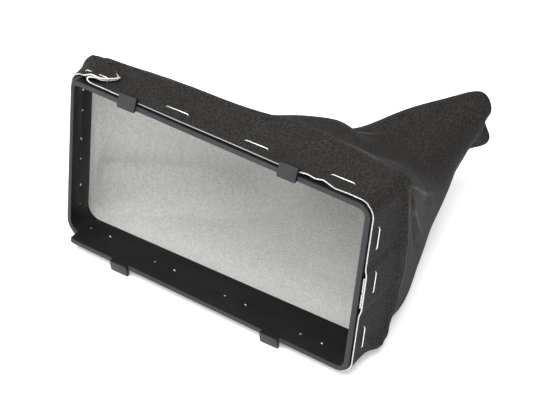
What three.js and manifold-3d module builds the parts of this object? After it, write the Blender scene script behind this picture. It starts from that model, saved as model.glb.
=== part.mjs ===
// Handbrake boot: a moulded hoop with four snap hooks, and a leatherette gaiter stapled around it.
// Millimetres. While it is drawn, X runs along the hoop, Y from its open front into the gaiter and
// Z across its short side, with the hoop's back edge at Y = 0 and its middle at X = Z = 0.

import * as THREE from 'three';
import { mergeVertices } from 'three/addons/utils/BufferGeometryUtils.js';
import Module from 'manifold-3d';

const wasm = await Module();
wasm.setup();

// Hoop
const HOOP_LENGTH = 180;
const HOOP_HEIGHT = 101.5;
const WALL = 2.8;
const END_WALL = 2.0;
const DEPTH_AT_LEFT = 22.6;
const DEPTH_AT_RIGHT = 28.9;
const LEFT_END_DEPTH = 16.5;
const STEP_FROM_LEFT = 7;
const LEFT_CORNER = 10;
const RIGHT_CORNER = 7;

// Snap hooks, one pair on each long wall
const HOOK_WIDTH = 10.2;
const HOOK_RISE = 4.5;
const HOOK_REACH = 2.6;
const HOOK_TIP_BACK = 1.8;
const HOOK_EDGE = 1.0;
const LEFT_HOOK_FROM_END = 40;
const RIGHT_HOOK_FROM_END = 45.7;

// Leatherette and the way it lies on the hoop
const SHEET = 1.0;
const SEAT_GAP = 0.3;
const EDGE_SETBACK = 1.5;
const SEAM_GAP = 0.3;
const SEAM_ALLOWANCE = 9;
const ALLOWANCE_RISE = 6;
const BAND_SWELL = 0.8;

// Gaiter behind the hoop, the sleeve that the lever comes out of, and its turned hem
const GAITER_REACH = 160;
const SLEEVE_WIDTH = 27;
const SLEEVE_HEIGHT = 35.5;
const HEM_DEPTH = 10;
const HEM_FOLD = 1.5;

// Staples
const WIRE = 0.7;
const CROWN = 14;
const CROWN_BEND = 1.2;
const CLINCH = 1.6;
const LEG_CLEARANCE = 0.3;
const CROWN_CLEARANCE = 0.2;
const PLEAT_STACK = 5.6;

// Sizes that follow from those above
const halfLength = HOOP_LENGTH / 2;
const halfHeight = HOOP_HEIGHT / 2;
const skin = SEAT_GAP + SHEET;
const seamStack = SHEET + SEAT_GAP;
const restingPlane = -halfHeight - HOOK_RISE;
const hookCentres = [-halfLength + LEFT_HOOK_FROM_END, halfLength - RIGHT_HOOK_FROM_END];

// The front rim of the long walls slopes: the hoop is deeper at its right end
function rimAt(x) {
  return -(DEPTH_AT_LEFT + (DEPTH_AT_RIGHT - DEPTH_AT_LEFT) * (x / HOOP_LENGTH + 0.5));
}

// The gaiter's cross-sections from the hoop to the sleeve's end. back is the share of its reach
// behind the hoop, wide and tall are shares of the way from the sleeve's size to the band's size,
// right is how far the right side lies outside the hoop's end, rise is how far the belly lies above
// the resting plane, corner is the corner radius, and lean is how far the left top corner hangs.
const sections = [
  { back: 0.01875, wide: 1.009, tall: 1.009, right: 2.6, rise: 2.3, corner: 10, lean: 0 },
  { back: 0.04375, wide: 1.021, tall: 1.015, right: 4.4, rise: 1.5, corner: 10, lean: 0 },
  { back: 0.06875, wide: 1.014, tall: 0.99, right: 4.6, rise: 0.7, corner: 11, lean: 1 },
  { back: 0.125, wide: 0.974, tall: 0.944, right: 3.0, rise: 0, corner: 13, lean: 4 },
  { back: 0.25, wide: 0.789, tall: 0.764, right: -1.4, rise: 0, corner: 18, lean: 10 },
  { back: 0.4, wide: 0.565, tall: 0.486, right: -6.8, rise: 3.7, corner: 22, lean: 9 },
  { back: 0.55, wide: 0.36, tall: 0.226, right: -11.8, rise: 11.6, corner: 22, lean: 3 },
  { back: 0.7, wide: 0.213, tall: 0.106, right: -14.8, rise: 20, corner: 19, lean: 1 },
  { back: 0.8375, wide: 0.106, tall: 0.054, right: -15.4, rise: 25.2, corner: 17, lean: 0 },
  { back: 0.95, wide: 0.033, tall: 0.029, right: -14.8, rise: 28.2, corner: 15, lean: 0 },
  { back: 1, wide: 0, tall: 0, right: -15, rise: 29.7, corner: 13, lean: 0 },
];

// Creases and swellings were measured on a gaiter of these sizes, and they follow when it changes
const MEASURED = { length: 180, reach: 160, height: 101.5 };
const onGaiter = ([x, y, z]) => new THREE.Vector3(
  x / MEASURED.length * HOOP_LENGTH, y / MEASURED.reach * GAITER_REACH,
  z / MEASURED.height * HOOP_HEIGHT);

// A crease is a crest where its height is positive and a valley where it is negative
const creases = [
  { height: 1.0, width: 2.0, path: [[-72.7, 4, 52.2], [-29, 7, 52], [32, 8, 52], [69, 7, 51.5], [88.9, 4, 50.5]] },
  { height: 0.9, width: 2.5, path: [[92.5, 4.8, 46.5], [94.6, 8.5, 18.3], [94.7, 10, -16], [94.7, 8.7, -38]] },
  { height: 1.3, width: 2.5, path: [[92.7, 4.8, 46], [94.4, 8, 39], [94.3, 13.2, 28.9], [91, 29, 9.7], [85.9, 51.7, -17]] },
  { height: 1.3, width: 3.0, path: [[92.1, 4.8, 47], [94.2, 7.6, 44], [92.9, 20, 34], [80.6, 68, 1.5], [78, 88, -11.7]] },
  { height: -2.0, width: 3.0, path: [[94.4, 10.5, 36], [94, 18, 20], [90.2, 32.6, -6], [88.6, 40, -12.9], [86, 51.7, -18.2]] },
  { height: -1.6, width: 6.0, path: [[92, 28, 24], [86, 48, 10], [81, 68, -4]] },
  { height: 1.2, width: 4.0, path: [[37.6, 16, 46.5], [30, 40, 32], [19.6, 84, 5.9], [32.5, 96, 5.5], [44, 106, 6]] },
  { height: -2.0, width: 5.0, path: [[56, 18, 44], [52, 40, 30], [46, 64, 18], [46, 84, 9]] },
];
const CREASE_END = 0.25;

// A swelling lifts the sheet softly round its centre, and a hollow has a negative height
const swellings = [
  { centre: [44, 24, 46], reach: [28, 20, 20], height: 9.5 },
  { centre: [10, 30, 38], reach: [22, 18, 20], height: 1.2 },
  { centre: [45, 5, 52], reach: [36, 13, 20], height: 2.4 },
  { centre: [18, 95, 0], reach: [16, 22, 16], height: -3.0 },
  { centre: [94, 17, -40], reach: [12, 12, 15], height: -4.4 },
  { centre: [94, 1, -49], reach: [8, 7, 7.5], height: 4.6 },
  { centre: [74, 132, -16], reach: [13, 20, 14], height: -5.0 },
  { centre: [68, 160, 14], reach: [10, 14, 10], height: 2.4 },
  { centre: [76, 160, -8], reach: [10, 14, 11], height: -2.4 },
];

// The spare leatherette at the hoop's upper left corner is laid in a Z-fold and stapled down. The
// middle of the folded sheet runs from the left side over the ear, round the tight fold, back under
// it and round the open loop on to the top: distance from the hoop's left end, height over its wall.
const pleatLine = [
  [0, -6], [0.6, -2.2], [3.6, 1.4], [8.4, 3.7], [13.6, 5.2], [18.2, 5.6], [22.6, 5.3], [24.6, 4.9],
  [25.4, 4.1], [24.8, 3.3], [22.8, 2.9], [19.6, 2.8], [16.6, 3.1], [15.0, 2.9], [14.3, 2.2],
  [15, 1.3], [17.5, 0.8], [22, 0.8]];
const PLEAT_LEAN = 12;
const PLEAT_SINK = 4.6;
const PLEAT_CUT_FROM = 15;
const PLEAT_CUT_SLOPE = 0.8;

// Mesh fineness
const LONG_STEPS = 18;
const SHORT_STEPS = 10;
const CORNER_STEPS = 4;
const BELLY_SKIP = 2;
const bandShares = [0, 0.2, 0.45, 0.75];
const coneBacks = [
  0.01875, 0.031, 0.044, 0.057, 0.075, 0.1, 0.13, 0.165, 0.205, 0.25, 0.3, 0.36, 0.42, 0.49, 0.56,
  0.64, 0.72, 0.8, 0.88, 0.95, 1];
const HEM_STEPS = 3;
const HEM_CLEAR_ROWS = 2;
const ARC_STEPS = 6;

// A straight prism: the outline's two axes are given, and the length runs along their cross product
function prism(shape, length, uAxis, vAxis, origin) {
  const geometry = new THREE.ExtrudeGeometry(shape, {
    depth: length, bevelEnabled: false, curveSegments: ARC_STEPS,
  });
  const wAxis = new THREE.Vector3().crossVectors(uAxis, vAxis);
  geometry.applyMatrix4(new THREE.Matrix4().makeBasis(uAxis, vAxis, wAxis).setPosition(origin));
  return geometry;
}

const X = new THREE.Vector3(1, 0, 0);
const Y = new THREE.Vector3(0, 1, 0);
const Z = new THREE.Vector3(0, 0, 1);

function polygon(points) {
  return new THREE.Shape(points.map(([u, v]) => new THREE.Vector2(u, v)));
}

function roundedOutline(x0, x1, z0, z1, leftRadius, rightRadius) {
  const shape = new THREE.Shape();
  const quarter = Math.PI / 2;
  shape.moveTo(x0 + leftRadius, z0);
  shape.lineTo(x1 - rightRadius, z0);
  shape.absarc(x1 - rightRadius, z0 + rightRadius, rightRadius, -quarter, 0);
  shape.lineTo(x1, z1 - rightRadius);
  shape.absarc(x1 - rightRadius, z1 - rightRadius, rightRadius, 0, quarter);
  shape.lineTo(x0 + leftRadius, z1);
  shape.absarc(x0 + leftRadius, z1 - leftRadius, leftRadius, quarter, 2 * quarter);
  shape.lineTo(x0, z0 + leftRadius);
  shape.absarc(x0 + leftRadius, z0 + leftRadius, leftRadius, 2 * quarter, 3 * quarter);
  return shape;
}

function toSolid(geometry) {
  const bare = geometry.clone();
  bare.deleteAttribute('normal');
  bare.deleteAttribute('uv');
  const merged = mergeVertices(bare, 1e-4);
  return new wasm.Manifold(new wasm.Mesh({
    numProp: 3,
    vertProperties: merged.attributes.position.array,
    triVerts: new Uint32Array(merged.index.array),
  }));
}

function toGeometry(solid) {
  const mesh = solid.getMesh();
  const geometry = new THREE.BufferGeometry();
  geometry.setAttribute('position', new THREE.BufferAttribute(mesh.vertProperties, mesh.numProp));
  geometry.setIndex(new THREE.BufferAttribute(mesh.triVerts, 1));
  return geometry;
}

// Hoop: two nested outlines, with the front cut to the sloping rim and the shallow left end
function hoopWalls() {
  const beyond = 5;
  const length = DEPTH_AT_RIGHT + beyond;
  const outer = roundedOutline(
    -halfLength, halfLength, -halfHeight, halfHeight, LEFT_CORNER, RIGHT_CORNER);
  const inner = roundedOutline(
    -halfLength + END_WALL, halfLength - WALL, -halfHeight + WALL, halfHeight - WALL,
    LEFT_CORNER - END_WALL, RIGHT_CORNER - WALL);
  const tube = toSolid(prism(outer, length, X, Z, new THREE.Vector3()))
    .subtract(toSolid(prism(inner, length + 2, X, Z, new THREE.Vector3(0, 1, 0))));
  const step = -halfLength + STEP_FROM_LEFT;
  const kept = polygon([
    [-halfLength - beyond, beyond], [-halfLength - beyond, -LEFT_END_DEPTH],
    [step, -LEFT_END_DEPTH], [step, rimAt(step)],
    [halfLength + beyond, rimAt(halfLength + beyond)], [halfLength + beyond, beyond]]);
  const height = HOOP_HEIGHT + 2 * beyond;
  return tube.intersect(toSolid(prism(kept, height, X, Y, new THREE.Vector3(0, 0, -height / 2))));
}

// A hook stands ahead of the rim and outside the wall, with a sloping lead-in face
function snapHook(x, side) {
  const rim = rimAt(x);
  const inside = side * (halfHeight - WALL);
  const outside = side * halfHeight;
  const top = side * (halfHeight + HOOK_RISE);
  const back = rim + EDGE_SETBACK - SEAT_GAP;
  const profile = polygon([
    [rim - HOOK_REACH, inside], [rim - HOOK_REACH + HOOK_TIP_BACK, top - side * HOOK_EDGE / 2],
    [rim - HOOK_REACH + HOOK_TIP_BACK + HOOK_EDGE / 2, top], [back, top], [back, outside],
    [back + WALL, outside], [back + WALL, inside]]);
  return toSolid(prism(profile, HOOK_WIDTH, Y, Z, new THREE.Vector3(x - HOOK_WIDTH / 2, 0, 0)));
}

// Sides and corners of one cross-section, from the middle of the left side over the top and round
const ringSpans = [
  { columns: SHORT_STEPS / 2, from: 'leftMiddle', to: 'leftUpper' },
  { columns: CORNER_STEPS, corner: 'upperLeft', turns: 2 },
  { columns: LONG_STEPS, from: 'upperLeft', to: 'upperRight' },
  { columns: CORNER_STEPS, corner: 'upperRight', turns: 1 },
  { columns: SHORT_STEPS / 2, from: 'rightUpper', to: 'rightMiddle' },
  { columns: SHORT_STEPS / 2, from: 'rightMiddle', to: 'rightLower' },
  { columns: CORNER_STEPS, corner: 'lowerRight', turns: 0 },
  { columns: LONG_STEPS, from: 'lowerRight', to: 'lowerLeft' },
  { columns: CORNER_STEPS, corner: 'lowerLeft', turns: -1 },
  { columns: SHORT_STEPS / 2, from: 'leftLower', to: 'leftMiddle' },
];
const ringSize = 2 * LONG_STEPS + 2 * SHORT_STEPS + 4 * CORNER_STEPS;
const rightSeam = ringSize / 2;

// The columns go round from the seam to the seam, and are wider apart on the belly
function columnsAround() {
  const bellyFrom = rightSeam + SHORT_STEPS / 2 + CORNER_STEPS;
  const onBelly = (column) => column > bellyFrom && column < bellyFrom + LONG_STEPS;
  const whole = Array.from({ length: ringSize + 1 }, (_, k) => (rightSeam + k) % ringSize);
  return whole.filter((column) => !onBelly(column) || (column - bellyFrom) % BELLY_SKIP === 0);
}

const around = columnsAround();

// One cross-section as a point at each column
function ring(x0, x1, z0, z1, leftRadius, rightRadius) {
  const limit = Math.min(x1 - x0, z1 - z0) / 2;
  const left = Math.min(leftRadius, limit);
  const right = Math.min(rightRadius, limit);
  const middle = (z0 + z1) / 2;
  const ends = {
    leftMiddle: [x0, middle], leftUpper: [x0, z1 - left], leftLower: [x0, z0 + left],
    rightMiddle: [x1, middle], rightUpper: [x1, z1 - right], rightLower: [x1, z0 + right],
    upperLeft: [x0 + left, z1], upperRight: [x1 - right, z1],
    lowerRight: [x1 - right, z0], lowerLeft: [x0 + left, z0],
  };
  const centres = {
    upperLeft: [x0 + left, z1 - left, left], upperRight: [x1 - right, z1 - right, right],
    lowerRight: [x1 - right, z0 + right, right], lowerLeft: [x0 + left, z0 + left, left],
  };
  return around.map((column) => {
    let place = column;
    const span = ringSpans.find((entry) => {
      const here = place < entry.columns;
      place -= here ? 0 : entry.columns;
      return here;
    });
    const share = place / span.columns;
    if (span.corner) {
      const [x, z, radius] = centres[span.corner];
      const angle = (span.turns - share) * Math.PI / 2;
      return [x + radius * Math.cos(angle), z + radius * Math.sin(angle)];
    }
    const from = ends[span.from];
    const to = ends[span.to];
    return [from[0] + (to[0] - from[0]) * share, from[1] + (to[1] - from[1]) * share];
  });
}

// A value between the listed sections, on a smooth curve through them
function blend(key, place) {
  const last = sections.length - 1;
  const i = Math.min(Math.floor(place), last - 1);
  const u = place - i;
  const p0 = sections[Math.max(i - 1, 0)][key];
  const p1 = sections[i][key];
  const p2 = sections[i + 1][key];
  const p3 = sections[Math.min(i + 2, last)][key];
  return 0.5 * (2 * p1 + (p2 - p0) * u + (2 * p0 - 5 * p1 + 4 * p2 - p3) * u * u
    + (3 * p1 - p0 - 3 * p2 + p3) * u * u * u);
}

// The place between the listed sections that lies at a share of the reach
function placeAt(back) {
  const next = Math.max(1, sections.findIndex((section) => section.back >= back));
  const from = sections[next - 1].back;
  return next - 1 + (back - from) / (sections[next].back - from);
}

// The outer face of a section behind the hoop, drawn in by inset and pushed back by push
function coneRow(place, inset, push) {
  const bandWidth = HOOP_LENGTH + 2 * skin;
  const bandHeight = HOOP_HEIGHT + 2 * skin;
  const width = SLEEVE_WIDTH + (bandWidth - SLEEVE_WIDTH) * blend('wide', place);
  const height = SLEEVE_HEIGHT + (bandHeight - SLEEVE_HEIGHT) * blend('tall', place);
  const x1 = halfLength + blend('right', place);
  const x0 = x1 - width;
  const z0 = restingPlane + Math.max(blend('rise', place), 0);
  const z1 = z0 + height;
  const radius = blend('corner', place) - inset;
  const lean = blend('lean', place);
  const y = blend('back', place) * GAITER_REACH + push;
  const outline = ring(x0 + inset, x1 - inset, z0 + inset, z1 - inset, radius, radius);
  return outline.map(([x, z]) => {
    const drop = lean * (x1 - x) / width * (z - z0) / height;
    return new THREE.Vector3(x, y, z - drop);
  });
}

// The band that is wrapped over the hoop, from the cut edge (share 0) to its back edge
function bandRow(share) {
  const swell = BAND_SWELL * THREE.MathUtils.smoothstep(share, 1 / 3, 1);
  const last = sections[0].back * GAITER_REACH;
  const outline = ring(
    -halfLength - skin - swell / 3, halfLength + skin + swell, -halfHeight - skin - swell / 2,
    halfHeight + skin, LEFT_CORNER + skin, RIGHT_CORNER + skin);
  return outline.map(([x, z]) => {
    const edge = edgeAt(x);
    return new THREE.Vector3(x, edge + (last - edge) * share, z);
  });
}

// The leatherette's cut edge follows the rim, also round the shallow left end
function edgeAt(x) {
  const step = -halfLength + STEP_FROM_LEFT;
  const slope = THREE.MathUtils.smoothstep(x, -halfLength, step + STEP_FROM_LEFT);
  return EDGE_SETBACK + THREE.MathUtils.lerp(-LEFT_END_DEPTH, rimAt(x), slope);
}

// How far a crease lifts the sheet at a point
function creaseLift({ height, width, path }, point) {
  const stops = path.map(onGaiter);
  const steps = stops.slice(1).map((stop, i) => new THREE.Line3(stops[i], stop));
  const whole = steps.reduce((sum, step) => sum + step.distance(), 0);
  const near = new THREE.Vector3();
  let nearest = Infinity;
  let along = 0;
  let passed = 0;
  for (const step of steps) {
    step.closestPointToPoint(point, true, near);
    const distance = near.distanceTo(point);
    if (distance < nearest) {
      nearest = distance;
      along = (passed + near.distanceTo(step.start)) / whole;
    }
    passed += step.distance();
  }
  const fade = THREE.MathUtils.smoothstep(Math.min(along, 1 - along), 0, CREASE_END);
  return height * fade * Math.exp(-nearest / width);
}

function swellingLift({ centre, reach, height }, point) {
  const [x, y, z] = reach;
  const away = point.clone().sub(onGaiter(centre)).divide(new THREE.Vector3(x, y, z));
  return height * Math.exp(-away.lengthSq());
}

function reliefAt(point) {
  const lifts = creases.map((crease) => creaseLift(crease, point));
  return Math.max(0, ...lifts) + lifts.reduce((sum, lift) => sum + Math.min(lift, 0), 0)
    + swellings.reduce((sum, swelling) => sum + swellingLift(swelling, point), 0);
}

// The sheet stands out over its seam allowances, which lie between it and the hoop's right end
function seamLift(point) {
  const { smoothstep } = THREE.MathUtils;
  const beside = 1 - smoothstep(
    Math.abs(point.z), SEAM_ALLOWANCE + SHEET, SEAM_ALLOWANCE + ALLOWANCE_RISE);
  return point.x > halfLength ? seamStack * beside * (1 - smoothstep(point.y, 4, 12)) : 0;
}

function facing(rows, i, j) {
  const last = rows[i].length - 1;
  const along = new THREE.Vector3().subVectors(
    rows[Math.min(i + 1, rows.length - 1)][j], rows[Math.max(i - 1, 0)][j]);
  const before = rows[i][j > 0 ? j - 1 : last - 1];
  const after = rows[i][j < last ? j + 1 : 1];
  return new THREE.Vector3().subVectors(after, before).cross(along).normalize();
}

function outerFace() {
  const base = [
    ...bandShares.map(bandRow),
    ...coneBacks.map((back) => coneRow(placeAt(back), 0, 0)),
  ];
  const lifted = base.map((row, i) => row.map((point, j) => {
    const relief = reliefAt(point);
    const lift = (i > bandShares.length ? relief : Math.max(relief, 0)) + seamLift(point);
    const moved = point.clone().addScaledVector(facing(base, i, j), lift);
    moved.z = Math.max(moved.z, restingPlane);
    return moved;
  }));
  const last = sections.length - 1;
  const end = base.length - 1;
  const turned = (inset, push, beside = end) => coneRow(last, inset, push).map(
    (point, j) => point.add(lifted[beside][j]).sub(base[beside][j]));
  const hem = [];
  for (let k = 1; k <= HEM_STEPS; k += 1) {
    const angle = Math.PI * k / HEM_STEPS;
    hem.push(turned(HEM_FOLD * (1 - Math.cos(angle)), HEM_FOLD * Math.sin(angle)));
  }
  return [...lifted, ...hem, turned(2 * HEM_FOLD, -HEM_DEPTH, end - 1)];
}

// A point at a distance from the seam, measured along a row, and what another net holds there
function awayFromSeam(row, values, distance) {
  let passed = 0;
  for (let j = 0; j < row.length - 1; j += 1) {
    const step = row[j].distanceTo(row[j + 1]);
    if (passed + step >= distance) {
      return values[j].clone().lerp(values[j + 1], (distance - passed) / step);
    }
    passed += step;
  }
  return values[values.length - 1].clone();
}

// Each row of the sheet is drawn back a little from the seam at both of its ends
function openedRow(row) {
  const backwards = [...row].reverse();
  return [
    awayFromSeam(row, row, SEAM_GAP / 2), ...row.slice(1, -1),
    awayFromSeam(backwards, backwards, SEAM_GAP / 2)];
}

// The seam allowance is folded back against the knit: its cross-section as distance from the seam
// and depth under the outer face. It starts inside the sheet's own thickness, which it is part of.
const flapDepth = 2 * SHEET + SEAT_GAP;
const flapSection = [
  [SEAM_GAP / 2, SHEET / 2], [SHEET, SHEET / 2], [SHEET, flapDepth - SHEET],
  [SEAM_ALLOWANCE / 2, flapDepth - SHEET], [SEAM_ALLOWANCE, flapDepth - SHEET],
  [SEAM_ALLOWANCE, flapDepth], [SEAM_ALLOWANCE / 2, flapDepth], [SEAM_GAP / 2, flapDepth]];

function allowance(face, inward, mirrored) {
  const sections = face.map((row, i) => {
    const points = mirrored ? [...row].reverse() : row;
    const depths = mirrored ? [...inward[i]].reverse() : inward[i];
    return flapSection.map(([distance, depth]) => awayFromSeam(points, points, distance)
      .addScaledVector(distance > SHEET ? awayFromSeam(points, depths, distance) : depths[0], depth));
  });
  const count = flapSection.length;
  const last = sections.length - 1;
  const index = [];
  const face3 = (a, b, c) => index.push(...(mirrored ? [a, c, b] : [a, b, c]));
  for (let i = 0; i < last; i += 1) {
    for (let k = 0; k < count; k += 1) {
      const next = (k + 1) % count;
      face3(i * count + k, i * count + next, (i + 1) * count + next);
      face3(i * count + k, (i + 1) * count + next, (i + 1) * count + k);
    }
  }
  const outline = flapSection.map(([distance, depth]) => new THREE.Vector2(distance, depth));
  for (const [a, b, c] of THREE.ShapeUtils.triangulateShape(outline, [])) {
    face3(a, c, b);
    face3(last * count + a, last * count + b, last * count + c);
  }
  const geometry = new THREE.BufferGeometry();
  const positions = sections.flat().flatMap((point) => point.toArray());
  geometry.setAttribute('position', new THREE.Float32BufferAttribute(positions, 3));
  geometry.setIndex(index);
  return geometry;
}

// The pleat: its line with the sheet's thickness, drawn back, to the left and down into the band. Its
// front is cut slantwise, and nothing of it lies inside the hoop or left of the band.
function pleatSolid() {
  const line = pleatLine.map(([fromEnd, height]) => new THREE.Vector2(
    -halfLength + fromEnd, halfHeight + height));
  const sides = [1, -1].map((side) => line.map((point, k) => {
    const step = line[Math.min(k + 1, line.length - 1)].clone().sub(line[Math.max(k - 1, 0)]);
    return point.clone().add(new THREE.Vector2(-step.y, step.x).setLength(side * SHEET / 2));
  }));
  const shape = new THREE.Shape([...sides[0], ...sides[1].reverse()]);
  const front = edgeAt(-halfLength + PLEAT_CUT_FROM);
  const geometry = new THREE.ExtrudeGeometry(shape, { depth: 1, bevelEnabled: false });
  geometry.applyMatrix4(new THREE.Matrix4().makeBasis(
    X, Z, new THREE.Vector3(PLEAT_LEAN, front, PLEAT_SINK)).setPosition(-PLEAT_LEAN, 0, -PLEAT_SINK));
  const from = -halfLength + PLEAT_CUT_FROM;
  const past = from + LONG_STEPS;
  const beyond = 2 * front;
  const slant = polygon([
    [from, beyond], [past, beyond], [past, front + PLEAT_CUT_SLOPE * (past - from)], [from, front]]);
  const atLeft = EDGE_SETBACK - LEFT_END_DEPTH;
  const leftSlant = polygon([
    [-HOOP_LENGTH, beyond], [from - SHEET, beyond], [from - SHEET, front], [-halfLength, atLeft],
    [-HOOP_LENGTH, atLeft]]);
  const hoopSpace = roundedOutline(
    -halfLength - SEAT_GAP, halfLength, -halfHeight, halfHeight + SEAT_GAP, LEFT_CORNER + SEAT_GAP,
    RIGHT_CORNER);
  const leftOfBand = polygon([
    [-halfLength - skin - HOOP_LENGTH, -HOOP_HEIGHT], [-halfLength - skin, -HOOP_HEIGHT],
    [-halfLength - skin, HOOP_HEIGHT], [-halfLength - skin - HOOP_LENGTH, HOOP_HEIGHT]]);
  const depth = -beyond + 1;
  return toSolid(geometry)
    .subtract(toSolid(prism(slant, halfHeight, X, Y, new THREE.Vector3(0, 0, halfHeight))))
    .subtract(toSolid(prism(leftSlant, HOOP_HEIGHT, X, Y, new THREE.Vector3())))
    .subtract(toSolid(prism(hoopSpace, depth, X, Z, new THREE.Vector3(0, 1, 0))))
    .subtract(toSolid(prism(leftOfBand, depth, X, Z, new THREE.Vector3(0, 1, 0))));
}

// The sheet with the allowances on both sides of its seam, which end ahead of the hem, and its pleat
function gaiterSolid() {
  const face = outerFace();
  const inward = face.map((row, i) => row.map((point, j) => facing(face, i, j).negate()));
  const whole = toSolid(sheet(face.map(openedRow)));
  const sewn = face.slice(0, bandShares.length + coneBacks.length - HEM_CLEAR_ROWS);
  return [false, true].reduce(
    (body, mirrored) => body.add(toSolid(allowance(sewn, inward, mirrored))),
    whole.add(pleatSolid()));
}

// One closed sheet of the given rows: the rows are its outer face, the knit lies one sheet under it
function sheet(rows) {
  const rowCount = rows.length;
  const columns = rows[0].length - 1;
  const normal = (i, j) => {
    const along = new THREE.Vector3().subVectors(
      rows[Math.min(i + 1, rowCount - 1)][j], rows[Math.max(i - 1, 0)][j]);
    const across = new THREE.Vector3().subVectors(
      rows[i][Math.min(j + 1, columns)], rows[i][Math.max(j - 1, 0)]);
    return across.cross(along).normalize();
  };
  const under = rows.map((row, i) => row.map(
    (point, j) => point.clone().addScaledVector(normal(i, j), -SHEET)));
  const positions = [rows, under].flat(2).flatMap((point) => point.toArray());
  const index = [];
  const outer = (i, c) => i * (columns + 1) + c;
  const inner = (i, c) => rowCount * (columns + 1) + outer(i, c);
  const quad = (a, b, c, d) => index.push(a, b, c, a, c, d);
  for (let i = 0; i < rowCount - 1; i += 1) {
    for (let c = 0; c < columns; c += 1) {
      quad(outer(i, c), outer(i, c + 1), outer(i + 1, c + 1), outer(i + 1, c));
      quad(inner(i, c), inner(i + 1, c), inner(i + 1, c + 1), inner(i, c + 1));
    }
    quad(outer(i, 0), outer(i + 1, 0), inner(i + 1, 0), inner(i, 0));
    quad(outer(i, columns), inner(i, columns), inner(i + 1, columns), outer(i + 1, columns));
  }
  for (let c = 0; c < columns; c += 1) {
    const end = rowCount - 1;
    quad(outer(0, c), inner(0, c), inner(0, c + 1), outer(0, c + 1));
    quad(outer(end, c), outer(end, c + 1), inner(end, c + 1), inner(end, c));
  }
  const geometry = new THREE.BufferGeometry();
  geometry.setAttribute('position', new THREE.Float32BufferAttribute(positions, 3));
  geometry.setIndex(index);
  return geometry;
}

// A staple lies on the outer face of a wall, and its legs are turned in on the wall's inner face.
// along is the crown's direction, out points away from the hoop, wall is that wall's thickness, and
// stack is how far the leatherette under the crown stands out from the wall.
function staple(centre, along, out, wall, stack) {
  const crownUnder = stack + CROWN_CLEARANCE;
  const tip = -wall - LEG_CLEARANCE;
  const half = CROWN / 2;
  const side = (sign) => [
    [sign * (half - CLINCH), tip - WIRE], [sign * half, tip - WIRE],
    [sign * half, crownUnder + WIRE - CROWN_BEND / 2],
    [sign * (half - CROWN_BEND / 2), crownUnder + WIRE],
  ];
  const bore = (sign) => [
    [sign * (half - WIRE), crownUnder], [sign * (half - WIRE), tip], [sign * (half - CLINCH), tip],
  ];
  const shape = polygon([
    ...side(-1), ...side(1).reverse(), ...bore(1).reverse(), ...bore(-1)]);
  const across = new THREE.Vector3().crossVectors(along, out);
  const origin = centre.clone().addScaledVector(across, -WIRE / 2);
  return prism(shape, WIRE, along, out, origin);
}

// The holes that a staple's legs have pushed through the leatherette and the wall
function stapleHoles(centre, along, out, wall, stack) {
  const across = new THREE.Vector3().crossVectors(along, out);
  const wide = WIRE / 2 + LEG_CLEARANCE;
  const reach = stack + 1;
  return [-1, 1].map((sign) => {
    const middle = sign * (CROWN / 2 - WIRE / 2);
    const shape = polygon([
      [middle - wide, -wall - 1], [middle + wide, -wall - 1],
      [middle + wide, reach], [middle - wide, reach]]);
    const origin = centre.clone().addScaledVector(across, -wide);
    return toSolid(prism(shape, 2 * wide, along, out, origin));
  });
}

// Where the staples sit: share of the wall's half length, and share of the hoop's depth there
const longWall = (side) => ({
  along: X, out: Z.clone().multiplyScalar(side), wall: WALL,
  at: (place, front) => new THREE.Vector3(
    place * halfLength, front * rimAt(place * halfLength), side * halfHeight),
});
const endWall = (side) => ({
  along: Z, out: X.clone().multiplyScalar(side), wall: side < 0 ? END_WALL : WALL,
  at: (place, front) => new THREE.Vector3(
    side * halfLength, front * (side < 0 ? -LEFT_END_DEPTH : rimAt(halfLength)), place * halfHeight),
});
const stapleRuns = [
  { name: 'top_staple', wall: longWall(1),
    places: [[-0.824, 0.734, PLEAT_STACK], [-0.286, 0.672], [0.233, 0.699], [0.763, 0.646]] },
  { name: 'bottom_staple', wall: longWall(-1),
    places: [[-0.814, 0.388], [-0.326, 0.526], [0.176, 0.575], [0.701, 0.658]] },
  { name: 'right_staple', wall: endWall(1), places: [[0.571, 0.696], [0.039, 0.63, skin + seamStack], [-0.623, 0.689]] },
  { name: 'left_staple', wall: endWall(-1), places: [[0.591, 0.509], [0, 0.533], [-0.585, 0.485]] },
];

const staples = [];
for (const { name, wall, places } of stapleRuns) {
  places.forEach(([place, front, stack = skin], k) => {
    const centre = wall.at(place, front);
    staples.push({
      name: `${name}_${k + 1}`,
      geometry: staple(centre, wall.along, wall.out, wall.wall, stack),
      holes: stapleHoles(centre, wall.along, wall.out, wall.wall, stack),
    });
  });
}
const holes = staples.flatMap((entry) => entry.holes);

function pierced(solid) {
  return holes.reduce((left, hole) => left.subtract(hole), solid);
}

const hoop = hookCentres.reduce(
  (body, x) => body.add(snapHook(x, 1)).add(snapHook(x, -1)), hoopWalls());

const moulded = new THREE.MeshStandardMaterial({ color: 0x22262a, roughness: 0.48, metalness: 0 });
const leatherette = new THREE.MeshStandardMaterial({ color: 0x2d2b2a, roughness: 0.62, metalness: 0 });
const steelWire = new THREE.MeshStandardMaterial({ color: 0xc9cacb, roughness: 0.32, metalness: 1 });

const group = new THREE.Group();

function addPart(name, geometry, material) {
  const mesh = new THREE.Mesh(geometry, material);
  mesh.name = name;
  group.add(mesh);
}

addPart('frame', toGeometry(pierced(hoop)), moulded);
addPart('gaiter', toGeometry(pierced(gaiterSolid())), leatherette);
for (const { name, geometry } of staples) {
  addPart(name, geometry, steelWire);
}

// The finished part stands on its lower hooks and its belly, centred over the resting plane
const bounds = new THREE.Box3().setFromObject(group);
const middle = bounds.getCenter(new THREE.Vector3());
group.position.set(-middle.x, -middle.y, -bounds.min.z);

export default group;
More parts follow.
